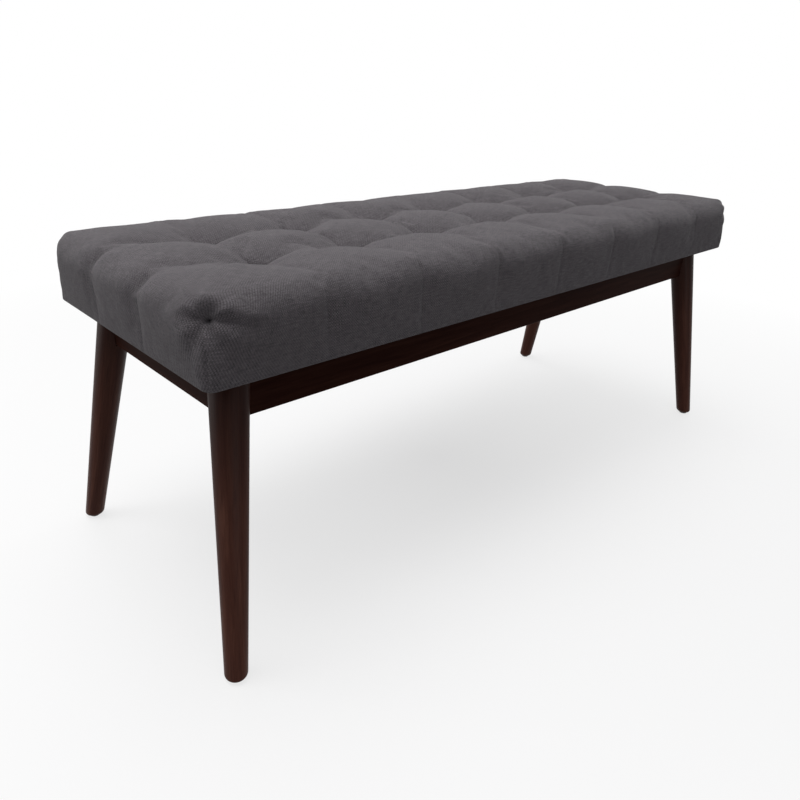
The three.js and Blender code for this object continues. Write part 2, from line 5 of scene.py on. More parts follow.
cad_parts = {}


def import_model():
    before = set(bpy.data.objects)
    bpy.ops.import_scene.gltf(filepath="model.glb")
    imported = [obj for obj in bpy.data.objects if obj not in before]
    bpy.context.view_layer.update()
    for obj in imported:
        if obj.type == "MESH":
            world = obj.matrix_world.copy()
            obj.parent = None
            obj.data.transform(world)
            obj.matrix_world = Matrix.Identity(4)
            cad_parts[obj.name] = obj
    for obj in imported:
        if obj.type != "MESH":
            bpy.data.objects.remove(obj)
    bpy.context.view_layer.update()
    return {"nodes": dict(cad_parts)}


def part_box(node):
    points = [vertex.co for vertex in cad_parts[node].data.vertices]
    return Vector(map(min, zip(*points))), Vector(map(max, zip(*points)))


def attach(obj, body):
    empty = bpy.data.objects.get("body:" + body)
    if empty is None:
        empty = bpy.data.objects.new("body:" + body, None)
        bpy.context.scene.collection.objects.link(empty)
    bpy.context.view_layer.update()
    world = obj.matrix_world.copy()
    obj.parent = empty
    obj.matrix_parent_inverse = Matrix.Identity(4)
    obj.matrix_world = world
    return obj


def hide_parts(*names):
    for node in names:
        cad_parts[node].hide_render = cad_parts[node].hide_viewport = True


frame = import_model()

MM = 0.001
QUARTER = np.pi / 2

# The seat cover: its box comes from the solid that it stands for.
COVER_LOW, COVER_HIGH = (np.array(corner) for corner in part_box("seat_cover"))
EDGE_ROUND = 26 * MM
SIDE_SWELL = 1.5 * MM
CORNER = 46 * MM
LOWER_CORNER = 12 * MM
DECK_TURN = 2.5 * MM
HEM = 42 * MM
CLOTH = 1.5 * MM
PRESS_PITCH = 6.5 * MM
PRESS_SLACK = 3.5 * MM
PRESS_LIMIT = 5 * MM
PRESS_FRAMES = 20
FLAT_X = COVER_HIGH[0] - EDGE_ROUND
FLAT_Y = COVER_HIGH[1] - EDGE_ROUND
SIDE_HEIGHT = COVER_HIGH[2] - COVER_LOW[2] - EDGE_ROUND - DECK_TURN
EDGE_PATH = EDGE_ROUND * QUARTER
SIDE_PATH = EDGE_PATH + SIDE_HEIGHT
TURN_PATH = SIDE_PATH + DECK_TURN * QUARTER
HEM_PATH = TURN_PATH + HEM

# Tufting: the seams lie where the solids have them.
PANELS = 8
COLUMN_PITCH = 128.5 * MM
COLUMNS = COLUMN_PITCH * (np.arange(PANELS - 1) - (PANELS - 2) / 2)
ROWS = 112 * MM * np.array([-0.5, 0.5])

# Depths and reaches of the tufting, in mm, and how strong the pinch is at the corners other than the front left.
ROW_VALLEY, ROW_REACH = 8.5, 48
COLUMN_VALLEY, COLUMN_REACH = 6.5, 54
PIT, PIT_REACH = 14, 50
CREASE_AT_TUFT, CREASE_DOWN_SIDE = 2.8, 0.25
PINCH, PINCH_POINT, PINCH_DOWN = 10, 5, 33
PINCH_AT_BACK, PINCH_AT_RIGHT = 0.15, 0.4
FOLD, LONG_FOLD = 1.6, 3.4

# Legs and rails.
FOOT_RADIUS = 13.5 * MM
LEG_TOP_RADIUS = 21.5 * MM
LEG_TOP_EASE = 1.2 * MM
FOOT_ROUND = 6 * MM
RAIL_EASE = 2 * MM
FIT_GAP = 0.3 * MM
SIGNS = {"front_left": (-1, -1), "front_right": (1, -1), "back_right": (1, 1), "back_left": (-1, 1)}

# The camera, fitted to edges and feet measured in the photograph, in pixels of an 800 frame.
CAMERA_AT = (-0.73911, -0.63424, 0.55053)
CAMERA_AZIMUTH = -42.711
CAMERA_ELEVATION = 35.463
CAMERA_ROLL = 1.887
FOCAL = 600.9
CENTRE = (373.0, 513.9)
PICTURE = 800


# ---- meshes ----


def grid_faces(rows, columns, around=False):
    """Quads between neighbours of a rows by columns grid, whose last column meets the first if it goes around."""
    index = np.arange(rows * columns).reshape(rows, columns)
    if around:
        index = np.hstack([index, index[:, :1]])
    corners = [index[:-1, :-1], index[:-1, 1:], index[1:, 1:], index[1:, :-1]]
    return np.stack(corners, axis=-1).reshape(-1, 4)


def make_mesh(name, points, faces, caps=()):
    """A smooth-shaded object from points, quads and any many-sided end faces."""
    mesh = bpy.data.meshes.new(name)
    mesh.from_pydata(points.reshape(-1, 3).tolist(), [], faces.tolist() + [list(map(int, cap)) for cap in caps])
    mesh.update()
    piece = bpy.data.objects.new(name, mesh)
    bpy.context.collection.objects.link(piece)
    shade(piece)
    return piece


def make_rings(name, points, turned=False):
    """A closed body from rings of points, with a flat face over each end. It is turned where the rings run the other
    way round."""
    rings, count = points.shape[:2]
    faces = grid_faces(rings, count, around=True)
    ends = [np.arange(count)[::-1], np.arange(count) + (rings - 1) * count]
    if turned:
        faces, ends = faces[:, ::-1], [end[::-1] for end in ends]
    return make_mesh(name, points, faces, ends)


def circles(middle_x, middle_y, radius, height, around):
    """Rings of points, one at each height, about a middle and at a radius that may change from point to point."""
    x = middle_x + radius * np.cos(around)
    y = middle_y + radius * np.sin(around)
    return np.stack([x, y, np.broadcast_to(height[:, None], x.shape)], axis=-1)


def shade(piece, crease=35):
    """Smooth shading, broken where faces meet at more than the crease angle."""
    piece.data.shade_smooth()
    piece.data.set_sharp_from_angle(angle=np.radians(crease))


def points_of(mesh):
    """The mesh's points, a row for each."""
    flat = np.empty(len(mesh.vertices) * 3)
    mesh.vertices.foreach_get("co", flat)
    return flat.reshape(-1, 3)


def set_vectors(mesh, name, vectors):
    """Keeps one vector a point on the mesh, for a pattern that follows the piece."""
    attribute = mesh.attributes.new(name, "FLOAT_VECTOR", "POINT")
    attribute.data.foreach_set("vector", np.ascontiguousarray(vectors, dtype=np.float32).ravel())


def finish_piece(piece, paint, slot, *nodes):
    """The piece takes its paint, stands for its solids and rides on the one body. The slot is not used."""
    piece.data.materials.clear()
    piece.data.materials.append(paint)
    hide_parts(*nodes)
    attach(piece, "root")
    return piece


def apply_modifiers(piece):
    """The piece keeps the mesh that its modifiers give, and loses them."""
    graph = bpy.context.evaluated_depsgraph_get()
    made = bpy.data.meshes.new_from_object(piece.evaluated_get(graph))
    old = piece.data
    piece.modifiers.clear()
    piece.data = made
    made.name = piece.name
    bpy.data.meshes.remove(old)


# ---- the seat ----


def fade(distance, reach):
    """One at no distance, falling along a parabola to nothing at the reach."""
    return np.clip(1 - distance / reach, 0, 1) ** 2


def bell(distance, width):
    return np.exp(-((distance / width) ** 2))


def step(value, start, end):
    """Rises smoothly from 0 at start to 1 at end."""
    t = np.clip((value - start) / (end - start), 0, 1)
    return t * t * (3 - 2 * t)


def nearest(values, places):
    return np.abs(values[..., None] - places).min(axis=-1)


def cloth_lines(flat, seams, ends, spread, panel_step):
    """Grid lines across the unfolded cloth: close together at each seam, wider in the panels, then down over the edge
    at the path lengths of ends, which are mirrored on the other side."""
    near = np.concatenate([-spread[:0:-1], spread])
    lines = [np.array([-flat])]
    for seam in seams:
        last = lines[-1][-1]
        first = seam + near[0]
        count = max(2, round((first - last) / panel_step))
        lines += [np.linspace(last, first, count + 1)[1:-1], seam + near]
    last = lines[-1][-1]
    lines.append(np.linspace(last, flat, max(2, round((flat - last) / panel_step)) + 1)[1:])
    top = np.concatenate(lines)
    return np.concatenate([-flat - ends[::-1], top, flat + ends])


def seat_profile(path):
    """The cover's section, by the path length down from its flat top: a quarter circle over the edge, a side that
    draws in as it falls, a small turn round the deck and a hem that runs inwards. Gives how far out it lies, how far
    the corner arc's centre has moved, the arc's radius, the height, and the outward and upward parts of the normal."""
    over = np.clip(path / EDGE_ROUND, 0, QUARTER)
    fall = np.clip((path - EDGE_PATH) / SIDE_HEIGHT, 0, 1)
    turn = np.clip((path - SIDE_PATH) / DECK_TURN, 0, QUARTER)
    hem = np.clip(path - TURN_PATH, 0, None)
    inwards = DECK_TURN * (1 - np.cos(turn)) + hem
    reach = EDGE_ROUND * np.sin(over) - SIDE_SWELL * fall - inwards
    arc = CORNER * np.sin(over) - (CORNER - LOWER_CORNER) * fall - inwards
    arc = np.where(hem > 0, np.maximum(arc, 2 * MM), arc)
    height = COVER_HIGH[2] - EDGE_ROUND * (1 - np.cos(over)) - SIDE_HEIGHT * fall - DECK_TURN * np.sin(turn)
    return reach - arc, arc, height, np.sin(over) * np.cos(turn), np.cos(over) - np.sin(turn)


def ripples(x, y, seed, waves, amplitude):
    """A sum of plane sine waves of random direction, length and phase."""
    random = np.random.default_rng(seed)
    total = np.zeros_like(x)
    for length in waves:
        angle, phase = random.uniform(0, 2 * np.pi, 2)
        total += np.sin((x * np.cos(angle) + y * np.sin(angle)) * 2 * np.pi / length + phase)
    return amplitude * total / len(waves)


def trough(distance, reach, sharp):
    """A valley's section from 1 in its bottom to 0 at the reach: a cosine with a round bottom, or where it is sharp a
    parabola with a crease."""
    near = np.clip(1 - distance / reach, 0, 1)
    return (1 - sharp) * (0.5 - 0.5 * np.cos(np.pi * near)) + sharp * near**2


def seat_depth(x, y, path, past_corner):
    """How far the cloth is drawn in below its plain form. Round valleys follow the seams, are deepest at the tufts and
    lie shallow half way between them. Each tuft adds a pit that is narrower on the diagonals, so that the panels'
    corners stay full, and short creases along the seams. Towards the front and back the column valleys run out to
    thin lines, and the row valleys end in narrow dimples on the ends' upper edge. The corner seams are thin creases
    with a pinch at the top and folds that leave it, one of them longer, which falls slowly along the front or back.
    These are strongest at the front left corner.
    past_corner is the way round from the corner seam, towards the front or back where it is positive."""
    across, along = nearest(x, COLUMNS), nearest(y, ROWS)
    edge = np.minimum(FLAT_X - np.abs(x), FLAT_Y - np.abs(y))
    over_edge = step(path, 0, EDGE_PATH)
    on_top = 1 - over_edge
    fall = step(path, 0, SIDE_PATH)
    radius = np.hypot(across, along)
    near_tuft = bell(radius, 18 * MM)
    near_front = fade(FLAT_Y - np.abs(y), 110 * MM)
    near_end = fade(FLAT_X - np.abs(x), 80 * MM)

    column_depth = COLUMN_VALLEY * (1 - near_front) * on_top + 0.5 * (1 - fall)
    row_depth = (ROW_VALLEY - 5.0 * near_end) * (1 - over_edge) + 3.2 * over_edge * (1 - fall)
    sharp = 0.04 + 0.96 * bell(radius, 20 * MM)
    column_valley = column_depth * trough(across, COLUMN_REACH * MM, sharp)
    row_valley = row_depth * trough(along, (ROW_REACH - 16 * near_end) * MM, sharp)
    between = 0.6 + 0.4 * fade(radius, 75 * MM)
    both = column_valley * row_valley / ROW_VALLEY
    valley = (column_valley + row_valley - both) * MM * (1 - on_top * (1 - between))

    diagonal = 2 * across * along / np.maximum(radius, 1e-6) ** 2
    pit = PIT * MM * fade(radius * (1 + 0.45 * diagonal), PIT_REACH * MM)
    knot = 3 * MM * bell(radius, 7 * MM)
    dimple = 3.2 * MM * bell(along, 8 * MM) * bell(path - 16 * MM, 16 * MM) * (np.abs(x) >= FLAT_X)

    to_seam = np.minimum(across, along)
    crease = CREASE_AT_TUFT * near_tuft + CREASE_DOWN_SIDE * over_edge
    crease = crease * MM * bell(to_seam, (1.4 + 0.9 * near_tuft) * MM)

    to_corner = np.abs(past_corner)
    corner_seam = 2 * MM * bell(to_corner, 2 * MM) * step(path, 10 * MM, 24 * MM)
    below = path - PINCH_DOWN * MM
    away = np.hypot(below, to_corner)
    share = np.where(y > 0, PINCH_AT_BACK, np.where(x > 0, PINCH_AT_RIGHT, 1.0))
    dent = PINCH * bell(to_corner, 14 * MM) * bell(below, 13 * MM)
    pinch = share * MM * (dent + PINCH_POINT * bell(away, 5 * MM))
    turn = np.arctan2(below, to_corner)
    folds = FOLD * MM * share * np.sin(6 * turn + 1.2) * bell(away - 22 * MM, 15 * MM) * step(away, 0, 12 * MM)
    reach = step(past_corner, 4 * MM, 20 * MM) * (1 - step(past_corner, 35 * MM, 85 * MM))
    long_fold = LONG_FOLD * MM * share * bell(below - 0.2 * past_corner, 5.5 * MM) * reach
    crown = 1.5 * MM * fade(edge, 80 * MM) * on_top
    return valley + (pit + knot) * on_top + dimple + crease + corner_seam + pinch + folds + long_fold + crown


def panel_swell(x, y, path):
    """Each panel is a little fuller or slacker than the next, by a sine bump over the panel."""
    random = np.random.default_rng(7)
    swell = random.uniform(-1.2, 1.2, (len(COLUMNS) + 1, len(ROWS) + 1)) * MM
    edges_x = np.concatenate([[-FLAT_X], COLUMNS, [FLAT_X]])
    edges_y = np.concatenate([[-FLAT_Y], ROWS, [FLAT_Y]])
    i = np.clip(np.searchsorted(edges_x, x) - 1, 0, len(COLUMNS))
    j = np.clip(np.searchsorted(edges_y, y) - 1, 0, len(ROWS))
    u = (x - edges_x[i]) / (edges_x[i + 1] - edges_x[i])
    v = (y - edges_y[j]) / (edges_y[j + 1] - edges_y[j])
    return swell[i, j] * np.sin(np.pi * u) * np.sin(np.pi * v) * (1 - step(path, 0, EDGE_PATH))


def side_swell(x, y, path):
    """Between its seams the side bulges along a sine from the edge to the hem."""
    fall = np.clip((path - 0.4 * EDGE_PATH) / (SIDE_PATH - 0.4 * EDGE_PATH), 0, 1)
    to_seam = np.minimum(nearest(x, COLUMNS), nearest(y, ROWS))
    return 1.6 * MM * np.sin(np.pi * fall) * step(to_seam, 0, 40 * MM)


def unfold(lines_x, lines_y):
    """The cloth laid flat, over the grid of its lines: the nearest place on the flat top, the path length beyond its
    edge, and the angle round a corner, which goes from the end to the front or back through the corner's diagonal."""
    s, t = np.meshgrid(lines_x, lines_y, indexing="ij")
    past_x = np.maximum(np.abs(s) - FLAT_X, 0)
    past_y = np.maximum(np.abs(t) - FLAT_Y, 0)
    path = np.maximum(past_x, past_y)
    share = np.minimum(past_x, past_y) / np.maximum(path, 1e-9)
    angle = np.where(past_x >= past_y, share * QUARTER / 2, QUARTER - share * QUARTER / 2)
    x = np.clip(s, -FLAT_X, FLAT_X)
    y = np.clip(t, -FLAT_Y, FLAT_Y)
    return s, t, x, y, past_x, past_y, path, angle


def seat_surface(lines_x, lines_y, inset=0.0):
    """Points of the seat's skin. The plain form is the section of seat_profile carried round the flat top, with the
    corners turned about their arcs' centres. Each point is then moved along the plain form's normal by the tufting's
    depth, the panels' swell, a slight unevenness and the inset."""
    s, t, x, y, _, _, path, angle = unfold(lines_x, lines_y)
    centre, arc, height, out, up = seat_profile(path)
    side_x, side_y = np.sign(s), np.sign(t)
    ease_x = np.clip((np.abs(x) - COLUMNS[-1]) / (FLAT_X - COLUMNS[-1]), 0, 1)
    ease_y = np.clip((np.abs(y) - ROWS[-1]) / (FLAT_Y - ROWS[-1]), 0, 1)
    plain = np.stack(
        [
            x + side_x * (centre * ease_x + arc * np.cos(angle)),
            y + side_y * (centre * ease_y + arc * np.sin(angle)),
            height,
        ],
        axis=-1,
    )
    normal = np.stack([out * np.cos(angle) * side_x, out * np.sin(angle) * side_y, up], axis=-1)
    past_corner = arc * (angle - QUARTER / 2) + (FLAT_X - np.abs(x)) - (FLAT_Y - np.abs(y))
    wave = ripples(x + path, y - path, 3, (0.31, 0.23, 0.17, 0.12, 0.083, 0.06), 1.0 * MM)
    held = 1 - step(path, SIDE_PATH - 12 * MM, TURN_PATH)
    moved = (panel_swell(x, y, path) + side_swell(x, y, path) + wave - seat_depth(x, y, path, past_corner)) * held
    return plain + normal * (moved - inset)[..., None]


def even_lines(flat, seams, ends, pitch):
    """Grid lines across the unfolded cloth at an even pitch from seam to seam, then down over the edge at the path
    lengths of ends, which are mirrored on the other side."""
    stops = np.concatenate([[-flat], seams, [flat]])
    spans = [np.linspace(a, b, max(2, round((b - a) / pitch)) + 1)[:-1] for a, b in zip(stops, stops[1:])]
    return np.concatenate([-flat - ends[::-1], *spans, [flat], flat + ends])


def spline_weights(fine, coarse):
    """A Catmull-Rom curve through values at the coarse places, read at the fine ones: a row of weights for each."""
    index = np.clip(np.searchsorted(coarse, fine) - 1, 0, len(coarse) - 2)
    u = np.clip((fine - coarse[index]) / (coarse[index + 1] - coarse[index]), 0, 1)
    shares = [
        -0.5 * u + u**2 - 0.5 * u**3,
        1 - 2.5 * u**2 + 1.5 * u**3,
        0.5 * u + 2 * u**2 - 1.5 * u**3,
        -0.5 * u**2 + 0.5 * u**3,
    ]
    weights = np.zeros((len(fine), len(coarse)))
    for offset, share in zip((-1, 0, 1, 2), shares):
        np.add.at(weights, (np.arange(len(fine)), np.clip(index + offset, 0, len(coarse) - 1)), share)
    return weights


def pressed_cloth():
    """A cloth simulation of the cover. It starts a little smaller than the seat's form, and pressure from within
    swells it, while the tufts, the seams and the hem hold it back. Gives the lines of its grid and how far each point
    then lies from the form, no more than a few millimetres."""
    ends = np.concatenate(
        [
            np.linspace(0, EDGE_PATH, 8)[1:],
            np.linspace(EDGE_PATH, SIDE_PATH, 9)[1:],
            np.linspace(SIDE_PATH, TURN_PATH, 3)[1:],
            [TURN_PATH + 8 * MM],
        ]
    )
    lines_x = even_lines(FLAT_X, COLUMNS, ends, PRESS_PITCH)
    lines_y = even_lines(FLAT_Y, ROWS, ends, PRESS_PITCH)
    _, _, x, y, _, _, path, _ = unfold(lines_x, lines_y)
    across, along = nearest(x, COLUMNS), nearest(y, ROWS)
    radius = np.hypot(across, along)
    form = seat_surface(lines_x, lines_y)
    smaller = PRESS_SLACK * (1 - bell(radius, 25 * MM)) * (1 - step(path, EDGE_PATH, SIDE_PATH))
    start = seat_surface(lines_x, lines_y, inset=smaller)
    piece = make_mesh("pressed_cloth", start, grid_faces(len(lines_x), len(lines_y))[:, ::-1])

    inner = step(FLAT_Y - np.abs(y), 0, 70 * MM)
    hold_free, hold_column, hold_row, hold_tuft = 0.03, 0.06, 0.12, 0.9
    hold = np.maximum.reduce(
        [
            np.full_like(x, hold_free),
            hold_column * bell(across, 13 * MM) * inner,
            hold_row * bell(along, 13 * MM) * (1 - step(path, 0, SIDE_PATH)),
            hold_tuft * bell(radius, 9 * MM) * (path == 0),
            step(path, SIDE_PATH - 8 * MM, SIDE_PATH),
        ]
    )
    hold = np.round(hold.ravel(), 2)
    group = piece.vertex_groups.new(name="hold")
    for weight in np.unique(hold):
        group.add(np.nonzero(hold == weight)[0].tolist(), float(weight), "REPLACE")
    cloth = piece.modifiers.new("cloth", "CLOTH")
    settings = {
        "quality": 6,
        "mass": 0.15,
        "tension_stiffness": 15,
        "compression_stiffness": 6,
        "shear_stiffness": 4,
        "bending_stiffness": 0.8,
        "vertex_group_mass": "hold",
        "pin_stiffness": 1,
        "use_pressure": True,
        "uniform_pressure_force": 4,
        "shrink_min": -0.02,
    }
    for name, value in settings.items():
        setattr(cloth.settings, name, value)
    cloth.settings.effector_weights.gravity = 0
    cloth.collision_settings.use_collision = False
    scene = bpy.context.scene
    cloth.point_cache.frame_start, cloth.point_cache.frame_end = 1, PRESS_FRAMES
    for frame_number in range(1, PRESS_FRAMES + 1):
        scene.frame_set(frame_number)
    swollen = points_of(piece.evaluated_get(bpy.context.evaluated_depsgraph_get()).data).reshape(form.shape)
    scene.frame_set(1)
    mesh = piece.data
    bpy.data.objects.remove(piece)
    bpy.data.meshes.remove(mesh)
    edge = np.minimum(FLAT_X - np.abs(x), FLAT_Y - np.abs(y))
    moves = (swollen - form) * (0.45 + 0.55 * step(edge, 0, 80 * MM))[..., None]
    length = np.linalg.norm(moves, axis=-1, keepdims=True)
    return lines_x, lines_y, moves * PRESS_LIMIT * np.tanh(length / PRESS_LIMIT) / np.maximum(length, 1e-9)


def pressed_surface(lines_x, lines_y, pressed, inset=0.0):
    """The seat's skin, with the simulated cloth's moves carried over to its own lines."""
    points = seat_surface(lines_x, lines_y, inset)
    if pressed is None:
        return points
    coarse_x, coarse_y, moves = pressed
    return points + np.einsum(
        "ij,jkc,lk->ilc", spline_weights(lines_x, coarse_x), moves, spline_weights(lines_y, coarse_y), optimize=True
    )


def cloth_map(piece, lines_x, lines_y):
    """The cloth's own map in metres: the flat top goes on down over the sides, and a corner arc's half belongs to the
    side that it lies on, so that the map is cut only along the corner seams."""
    s, t, x, y, past_x, past_y, path, angle = unfold(lines_x, lines_y)
    _, arc, _, _, _ = seat_profile(path)
    side_x, side_y = np.sign(s), np.sign(t)
    end = np.stack([side_x * (FLAT_X + path), y + side_y * arc * angle], axis=-1)
    front = np.stack([x + side_x * arc * (QUARTER - angle), side_y * (FLAT_Y + path)], axis=-1)
    top = np.stack([x, y], axis=-1)
    mesh = piece.data
    count = len(mesh.polygons)
    corners = np.empty(count * 4, dtype=np.int64)
    mesh.loops.foreach_get("vertex_index", corners)
    corners = corners.reshape(count, 4)
    flat_past = np.stack([past_x.ravel(), past_y.ravel()], axis=-1)[corners].mean(axis=1)
    choice = np.where(flat_past.max(axis=1) == 0, 0, np.where(flat_past[:, 0] > flat_past[:, 1], 1, 2))
    maps = np.stack([top.reshape(-1, 2), end.reshape(-1, 2), front.reshape(-1, 2)])
    uv = maps[choice[:, None], corners]
    layer = mesh.uv_layers.new(name="cloth")
    layer.data.foreach_set("uv", np.ascontiguousarray(uv, dtype=np.float32).ravel())


def seat_cover(paint, pressed):
    """The tufted cover, a closed skin with its hem turned in under the deck."""
    spread = np.array([0, 0.6, 1.3, 2.1, 3.2, 4.8, 7, 10, 14, 19, 25]) * MM
    ends = np.concatenate(
        [
            np.linspace(0, EDGE_PATH, 15)[1:],
            np.linspace(EDGE_PATH, SIDE_PATH, 12)[1:],
            np.linspace(SIDE_PATH, TURN_PATH, 5)[1:],
            np.linspace(TURN_PATH, HEM_PATH, 6)[1:],
        ]
    )
    lines_x = cloth_lines(FLAT_X, COLUMNS, ends, spread, 7 * MM)
    lines_y = cloth_lines(FLAT_Y, ROWS, ends, spread, 7 * MM)
    points = pressed_surface(lines_x, lines_y, pressed)
    piece = make_mesh("seat_cover_cloth", points, grid_faces(len(lines_x), len(lines_y))[:, ::-1])
    cloth_map(piece, lines_x, lines_y)
    piece.data.shade_smooth()
    wall = piece.modifiers.new("cloth", "SOLIDIFY")
    wall.thickness = CLOTH
    wall.offset = -1
    finish_piece(piece, paint, "seat_fabric", "seat_cover")
    return piece


def seat_foam(paint, pressed):
    """Foam under the cover: the same form, drawn in, more so at the corners, down to a flat underside."""
    bottom = np.array(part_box("seat_foam")[0])[2]
    lowest = EDGE_PATH + COVER_HIGH[2] - EDGE_ROUND - bottom
    spread = np.array([0, 3, 10, 24]) * MM
    ends = np.concatenate([np.linspace(0, EDGE_PATH, 5)[1:], np.linspace(EDGE_PATH, lowest, 4)[1:]])
    lines_x = cloth_lines(FLAT_X, COLUMNS, ends, spread, 20 * MM)
    lines_y = cloth_lines(FLAT_Y, ROWS, ends, spread, 20 * MM)
    _, _, _, _, past_x, past_y, _, _ = unfold(lines_x, lines_y)
    inset = 4.5 * MM + 8 * MM * step(np.minimum(past_x, past_y), 0, 20 * MM)
    points = pressed_surface(lines_x, lines_y, pressed, inset)
    rows, columns = len(lines_x), len(lines_y)
    index = np.arange(rows * columns).reshape(rows, columns)
    rim = np.concatenate([index[:-1, 0], index[-1, :-1], index[:0:-1, -1], index[0, :0:-1]])
    points.reshape(-1, 3)[rim, 2] = bottom
    piece = make_mesh("seat_foam_pad", points, grid_faces(rows, columns)[:, ::-1], [rim[::-1]])
    finish_piece(piece, paint, "foam", "seat_foam")
    return piece


def tuft_tie(node, paint, pressed):
    """Waxed twine at a tuft: a flat knot under the deck, a twisted strand up through the foam and a small bar under
    the cloth. All are circles about one axis, but the strand's radius swells twice a turn, and the swelling climbs."""
    low, high = (np.array(corner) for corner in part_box(node))
    middle = (low + high) / 2
    place_x, place_y = np.array([middle[0]]), np.array([middle[1]])
    top = pressed_surface(place_x, place_y, pressed)[0, 0, 2] - CLOTH - 1.2 * MM
    knot_top, bar = low[2] + 1.2 * MM, top - 1.5 * MM
    strand = np.linspace(knot_top, bar, 60)
    height = np.concatenate([low[2] + np.linspace(0, 0.9, 4) * MM, strand, [bar, bar + 0.4 * MM, top - 0.4 * MM, top]])
    radius = np.concatenate([[3.2, 3.8, 3.9, 3.7], np.full(60, 1.0), [1.3, 1.8, 1.8, 1.2]]) * MM
    around = np.linspace(0, 2 * np.pi, 14, endpoint=False)
    on_strand = (radius == 1.0 * MM)[:, None]
    twist = 0.18 * np.cos(2 * (around - 2 * np.pi * height[:, None] / (9 * MM)))
    radius = radius[:, None] * (1 + twist * on_strand)
    piece = make_rings(f"{node}_twine", circles(middle[0], middle[1], radius, height, around))
    return finish_piece(piece, paint, "twine", node)


# ---- the frame ----


def rounded_section(half_a, half_b, radius, steps):
    """A rectangle with rounded corners: in each corner a quarter circle about a centre set in by the radius."""
    turns = np.linspace(0, QUARTER, steps)
    parts = []
    for quarter, (a, b) in enumerate([(1, 1), (-1, 1), (-1, -1), (1, -1)]):
        angle = turns + quarter * QUARTER
        parts.append(np.stack([a * (half_a - radius) + radius * np.cos(angle),
                               b * (half_b - radius) + radius * np.sin(angle)], axis=-1))
    return np.concatenate(parts)


def rail(node, axis, paint):
    """A rail: its rounded section carried along its length in even steps, with flat ends."""
    low, high = (np.array(corner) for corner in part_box(node))
    middle, half = (low + high) / 2, (high - low) / 2
    cross = 1 - axis
    section = rounded_section(half[cross], half[2], RAIL_EASE, 6)
    stations = np.linspace(-half[axis], half[axis], 25)
    points = np.empty((len(stations), len(section), 3))
    points[..., axis] = middle[axis] + stations[:, None]
    points[..., cross] = middle[cross] + section[:, 0]
    points[..., 2] = middle[2] + section[:, 1]
    piece = make_rings(f"{node}_board", points, turned=axis == 1)
    flat = points.reshape(-1, 3) - middle
    offset = {"front_rail": 0.0, "right_rail": 1.3, "back_rail": 2.1, "left_rail": 3.7}[node]
    set_vectors(piece.data, "grain", np.stack([flat[:, cross] + offset, flat[:, 2], flat[:, axis]], axis=-1))
    return finish_piece(piece, paint, "stained_wood", node)


def box_points(low, high):
    """The eight corners of a box."""
    corners = np.array([[x, y, z] for x in (0, 1) for y in (0, 1) for z in (0, 1)], dtype=float)
    return np.asarray(low) + corners * (np.asarray(high) - np.asarray(low))


BOX_FACES = np.array([[0, 1, 3, 2], [4, 6, 7, 5], [0, 4, 5, 1], [2, 3, 7, 6], [0, 2, 6, 4], [1, 5, 7, 3]])


def leg(corner, paint):
    """A leg: circles whose radius grows evenly from the foot, with a quarter circle round the foot's edge, sheared so
    that each level moves towards the middle of the bench in step with its height, then notched for the two rails."""
    node = f"leg_{corner}"
    side_x, side_y = SIGNS[corner]
    low, high = (np.array(c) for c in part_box(node))
    bottom, top = low[2], high[2]
    rail_low, rail_high = (np.array(c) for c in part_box("front_rail"))
    end_low, end_high = (np.array(c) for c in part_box("left_rail"))
    axis_x, axis_y = abs(end_low[0] + end_high[0]) / 2, abs(rail_low[1] + rail_high[1]) / 2
    rail_middle = (rail_low[2] + rail_high[2]) / 2
    foot_x = abs(np.array(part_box(f"glide_{corner}")).mean(axis=0)[0])
    lean = (foot_x - axis_x) / (rail_middle - bottom)

    turn = np.linspace(0, QUARTER, 9)
    foot_radius = FOOT_RADIUS - FOOT_ROUND * (1 - np.sin(turn))
    foot_height = bottom + FOOT_ROUND * (1 - np.cos(turn))
    radius = np.concatenate([foot_radius, [LEG_TOP_RADIUS - LEG_TOP_EASE / 2, LEG_TOP_RADIUS - LEG_TOP_EASE]])
    height = np.concatenate([foot_height, [top - LEG_TOP_EASE, top]])
    around = np.linspace(0, 2 * np.pi, 72, endpoint=False)
    shift = lean * (height - rail_middle)[:, None]
    points = circles(side_x * (axis_x - shift), side_y * (axis_y - shift), radius[:, None], height, around)
    piece = make_rings(f"{node}_turned", points)

    half = (rail_high[1] - rail_low[1]) / 2 + FIT_GAP
    stop = axis_x - rail_high[0] - FIT_GAP
    reach, below, above = 60 * MM, rail_low[2] - FIT_GAP, top + 5 * MM
    notches = [
        box_points((stop, -half, below), (reach, half, above)),
        box_points((-half, stop, below), (half, reach, above)),
    ]
    place = np.array([-side_x * 1.0, -side_y * 1.0, 1.0])
    shifted = [notch * place + np.array([side_x * axis_x, side_y * axis_y, 0]) for notch in notches]
    faces = np.concatenate([BOX_FACES, BOX_FACES + 8])
    if side_x * side_y < 0:
        faces = faces[:, ::-1]
    cutter = make_mesh("notches", np.concatenate(shifted), faces)
    cut = piece.modifiers.new("notches", "BOOLEAN")
    cut.operation = "DIFFERENCE"
    cut.solver = "EXACT"
    cut.object = cutter
    apply_modifiers(piece)
    bpy.data.objects.remove(cutter)
    shade(piece)

    flat = points_of(piece.data)
    back = lean * (flat[:, 2] - rail_middle)
    offset = 5 + list(SIGNS).index(corner)
    set_vectors(
        piece.data,
        "grain",
        np.stack(
            [flat[:, 0] - side_x * (axis_x - back) + offset, flat[:, 1] - side_y * (axis_y - back), flat[:, 2]],
            axis=-1,
        ),
    )
    return finish_piece(piece, paint, "stained_wood", node)


